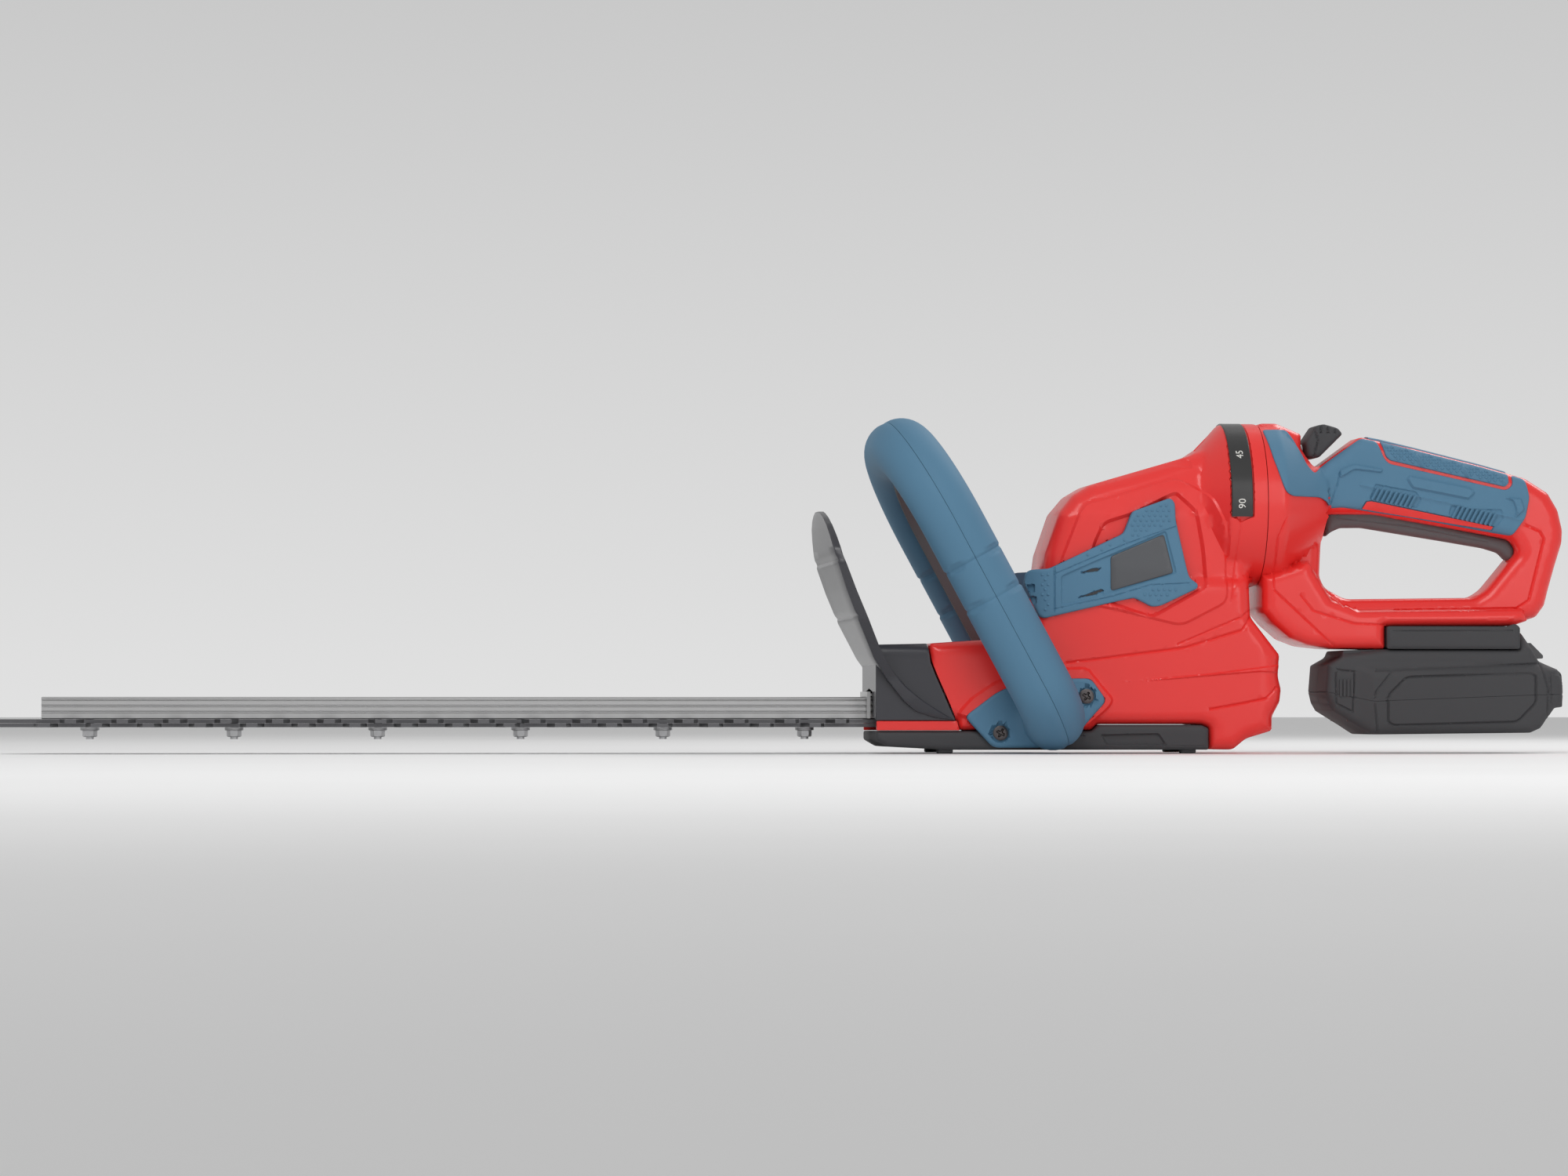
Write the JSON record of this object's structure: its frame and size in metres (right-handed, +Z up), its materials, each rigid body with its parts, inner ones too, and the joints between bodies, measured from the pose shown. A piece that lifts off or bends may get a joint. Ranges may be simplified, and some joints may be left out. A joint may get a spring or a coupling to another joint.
{
  "type": "hedge trimmer",
  "caption": "Cordless hedge trimmer: double-sided reciprocating blades on a rail, hand guard, loop front handle, rotating rear D-handle and slide-on battery.",
  "frame": {"origin": "on the floor, midway between the blade tip and the rear end, in the plane of symmetry", "axes": "+X from the blade tip to the rear handle, +Z up, -Y the user's left when they hold it and face the blade"},
  "size_m": [0.995, 0.1844, 0.2118],
  "materials": {
    "red_plastic": "satin moulded",
    "blue_soft": "satin with fine metallic fleck",
    "guard_grey": "glossy smoked dark grey",
    "dark_grey": "fine moulded texture",
    "mid_grey": "matte",
    "plate_grey": "satin",
    "rail_aluminium": "brushed extrusion",
    "blade_steel": "oiled spring steel",
    "bright_steel": "zinc plated",
    "screw_steel": "dark plated",
    "gear_steel": "sintered",
    "bronze": "sintered bronze",
    "copper": "copper",
    "carbon": "carbon",
    "white_nylon": "nylon",
    "cell_wrap": "shrink wrap",
    "nickel": "nickel strip",
    "board_green": "solder mask",
    "smoke_band": "smoked glossy",
    "gauge_lens": "smoked lens"
  },
  "bodies": {
    "main_body": {"housing_left": "red_plastic", "housing_right": "red_plastic", "bottom_cover": "dark_grey", "hand_guard": "guard_grey", "nose_bracket": "rail_aluminium", "side_trim_left": "blue_soft", "side_trim_right": "blue_soft", "nameplates": "plate_grey", "front_handle_front": "blue_soft", "front_handle_rear": "blue_soft", "handle_screws": "screw_steel", "housing_screws": "screw_steel", "scale_ring": "smoke_band", "detent_ring": "white_nylon", "motor_can": "bright_steel", "motor_end_cap": "dark_grey", "carbon_brushes": "carbon", "gearbox_plate_upper": "bright_steel", "gearbox_plate_lower": "bright_steel", "gearbox_screws": "screw_steel", "crank_bushes": "bronze", "support_rail": "rail_aluminium", "blade_bolts": "bright_steel", "blade_washers": "bright_steel", "blade_nuts": "bright_steel"},
    "crank": {"crank_gear": "gear_steel", "crank_shaft": "gear_steel", "eccentrics": "gear_steel"},
    "motor_rotor": {"armature": "copper", "motor_shaft": "gear_steel", "commutator": "copper", "cooling_fan": "dark_grey", "pinion": "gear_steel"},
    "blade_upper": {"upper_blade": "blade_steel"},
    "blade_lower": {"lower_blade": "blade_steel"},
    "front_switch": {"front_switch_bar": "mid_grey"},
    "rear_handle": {"rear_handle_left": "red_plastic", "rear_handle_right": "red_plastic", "grip_left": "blue_soft", "grip_right": "blue_soft", "top_pad": "blue_soft", "swivel_hub": "white_nylon", "main_switch": "dark_grey", "trigger_pin": "bright_steel", "trigger_spring": "bright_steel", "battery_receiver": "dark_grey", "contact_blades": "copper", "handle_case_screws": "screw_steel"},
    "trigger_lever": {"trigger": "mid_grey"},
    "rotation_lock": {"lock_slider": "mid_grey", "lock_pin": "bright_steel"},
    "battery": {"battery_case_lower": "dark_grey", "battery_case_upper": "dark_grey", "cells": "cell_wrap", "cell_strips": "nickel", "battery_board": "board_green", "gauge_panel": "gauge_lens", "battery_screws": "screw_steel"},
    "latch": {"battery_latch": "mid_grey"},
    "gauge_push": {"gauge_button": "mid_grey"}
  },
  "joints": [
    {"name": "upper_blade_slide", "type": "slide", "parent": "main_body", "child": "blade_upper", "axis": [1, 0, 0], "range_m": [-0.008, 0.008]},
    {"name": "lower_blade_slide", "type": "slide", "parent": "main_body", "child": "blade_lower", "axis": [1, 0, 0], "range_m": [-0.008, 0.008]},
    {"name": "crank_spin", "type": "hinge", "parent": "main_body", "child": "crank", "pos_m": [0.143, 0, 0.03], "axis": [0, 0, 1], "continuous": true},
    {"name": "motor_spin", "type": "hinge", "parent": "main_body", "child": "motor_rotor", "pos_m": [0.185, 0, 0.06], "axis": [0, 0, 1], "continuous": true},
    {"name": "front_switch_slide", "type": "slide", "parent": "main_body", "child": "front_switch", "axis": [-0.4756, 0, 0.8796], "range_m": [0, 0.003], "stiffness_N_per_m": 900, "springref_m": -0.002},
    {"name": "handle_rotation", "type": "hinge", "parent": "main_body", "child": "rear_handle", "pos_m": [0.298, 0, 0.158], "axis": [1, 0, 0], "range_deg": [-90, 90]},
    {"name": "trigger_pull", "type": "hinge", "parent": "rear_handle", "child": "trigger_lever", "pos_m": [0.35, 0, 0.1585], "axis": [0, -1, 0], "range_deg": [0, 3.5], "stiffness_Nm_per_rad": 6, "springref_deg": -3.44},
    {"name": "lock_slide", "type": "slide", "parent": "rear_handle", "child": "rotation_lock", "axis": [1, 0, 0], "range_m": [0, 0.006], "stiffness_N_per_m": 500, "springref_m": -0.002},
    {"name": "battery_slide", "type": "slide", "parent": "rear_handle", "child": "battery", "axis": [1, 0, 0], "range_m": [0, 0.09]},
    {"name": "latch_press", "type": "slide", "parent": "battery", "child": "latch", "axis": [-1, 0, 0], "range_m": [0, 0.003], "stiffness_N_per_m": 800, "springref_m": -0.001},
    {"name": "gauge_press", "type": "slide", "parent": "battery", "child": "gauge_push", "axis": [1, 0, 0], "range_m": [0, 0.0008], "stiffness_N_per_m": 600, "springref_m": -0.0005}
  ],
  "couplings": [
    {"joint": "lower_blade_slide", "follows": "upper_blade_slide", "ratio": -1},
    {"joint": "motor_spin", "follows": "crank_spin", "ratio": -6}
  ]
}
